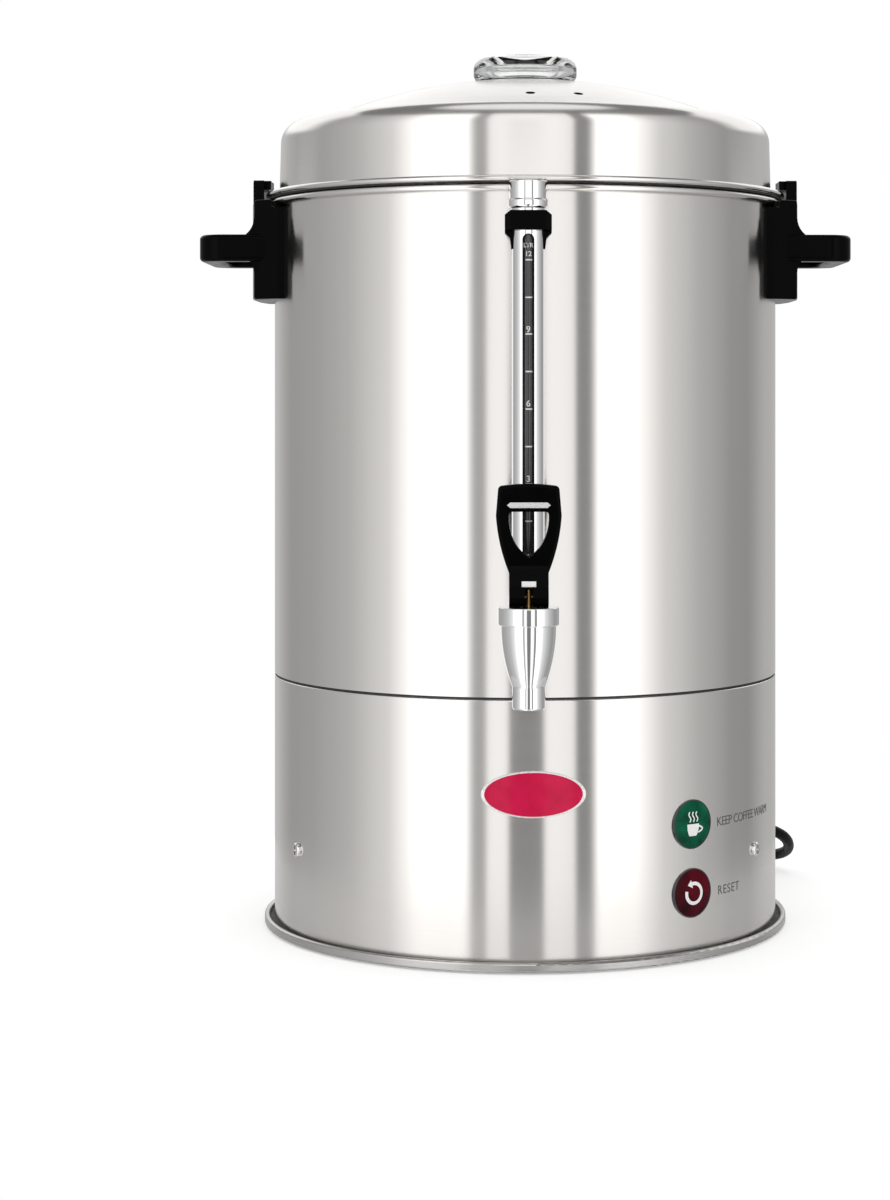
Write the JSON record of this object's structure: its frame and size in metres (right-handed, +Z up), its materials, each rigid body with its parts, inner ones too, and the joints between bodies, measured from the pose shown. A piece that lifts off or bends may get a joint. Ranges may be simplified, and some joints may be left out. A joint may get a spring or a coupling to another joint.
{
  "type": "coffee urn",
  "caption": "Stainless percolator coffee urn with a lift-off lid, side handles, sight gauge, lever tap, signal lens, push button and a mains lead with its plug.",
  "frame": {"origin": "centre of the foot ring on the table, under the tank's axis", "axes": "+Z up along the tank's axis; the tap faces -Y; the signal lens and the button are towards +X"},
  "size_m": [0.39, 0.4809, 0.5272],
  "materials": {
    "brushed_stainless": "satin",
    "tray_stainless": "polished",
    "black_phenolic": "gloss",
    "clear_glass": "clear",
    "gauge_glass": "clear",
    "chrome": "mirror",
    "screw_steel": "bright",
    "brass": "bright",
    "black_rubber": "matte",
    "seat_silicone": "matte",
    "badge_enamel": "gloss",
    "green_lens": "gloss",
    "red_lens": "gloss",
    "lamp_plastic": "matte",
    "heater_aluminium": "cast",
    "basket_steel": "satin",
    "cord_rubber": "satin",
    "plug_metal": "bright"
  },
  "bodies": {
    "urn": {"badge": "badge_enamel", "base_skirt": "brushed_stainless", "base_tray": "tray_stainless", "basket_lid": "basket_steel", "brew_heater": "heater_aluminium", "coffee_basket": "basket_steel", "cord_coil": "cord_rubber", "cord_tie": "cord_rubber", "foot_ring": "black_rubber", "gauge_cap": "chrome", "gauge_collar": "black_phenolic", "gauge_screw": "screw_steel", "gauge_seal": "black_rubber", "gauge_shield": "chrome", "gauge_tube": "gauge_glass", "handle_left": "black_phenolic", "handle_right": "black_phenolic", "handle_screws": "screw_steel", "keep_warm_heater": "heater_aluminium", "plug_body": "cord_rubber", "plug_pins": "plug_metal", "power_cord": "cord_rubber", "pump_foot": "basket_steel", "pump_tube": "basket_steel", "pump_valve": "basket_steel", "reset_bezel": "chrome", "reset_switch": "lamp_plastic", "seam_gasket": "black_rubber", "shank_gasket_inner": "black_rubber", "shank_gasket_outer": "black_rubber", "skirt_screws": "screw_steel", "strain_relief": "cord_rubber", "tap_body": "chrome", "tap_bonnet": "chrome", "tap_nut": "brass", "tap_shank": "chrome", "terminal_block": "lamp_plastic", "thermal_cutout": "lamp_plastic", "thermostat": "lamp_plastic", "tray_seal": "black_rubber", "urn_tank": "brushed_stainless", "warm_bezel": "chrome", "warm_lamp_holder": "lamp_plastic", "warm_lens": "green_lens"},
    "lid_ring": {"lid_seal_ring": "black_rubber"},
    "lid": {"lid_shell": "brushed_stainless", "lid_knob": "clear_glass", "knob_gasket": "black_rubber", "knob_nut": "lamp_plastic"},
    "stem": {"tap_stem": "brass", "stem_pin": "brass", "seat_cup": "seat_silicone", "tap_spring": "screw_steel"},
    "lever": {"tap_lever": "black_phenolic", "lever_clip": "screw_steel"},
    "button": {"reset_button": "red_lens"}
  },
  "joints": [
    {"name": "lid_turn", "type": "hinge", "parent": "urn", "child": "lid_ring", "pos_m": [0, 0, 0.438], "axis": [0, 0, 1], "range_deg": [-20, 0]},
    {"name": "lid_lift", "type": "slide", "parent": "lid_ring", "child": "lid", "axis": [0, 0, 1], "range_m": [0, 0.12]},
    {"name": "stem_lift", "type": "slide", "parent": "urn", "child": "stem", "axis": [0, 0, 1], "range_m": [0, 0.0036], "deforming": ["tap_spring"]},
    {"name": "lever_tilt", "type": "hinge", "parent": "stem", "child": "lever", "pos_m": [0, -0.195, 0.2117], "axis": [1, 0, 0], "range_deg": [0, 45], "stiffness_Nm_per_rad": 0.016, "springref_deg": -74.48},
    {"name": "reset_push", "type": "slide", "parent": "urn", "child": "button", "axis": [-0.6115, 0.7912, 0], "range_m": [0, 0.0025], "stiffness_N_per_m": 600, "springref_m": -0.001}
  ],
  "couplings": [
    {"joint": "stem_lift", "follows": "lever_tilt", "m_per_rad": 0.0045}
  ]
}
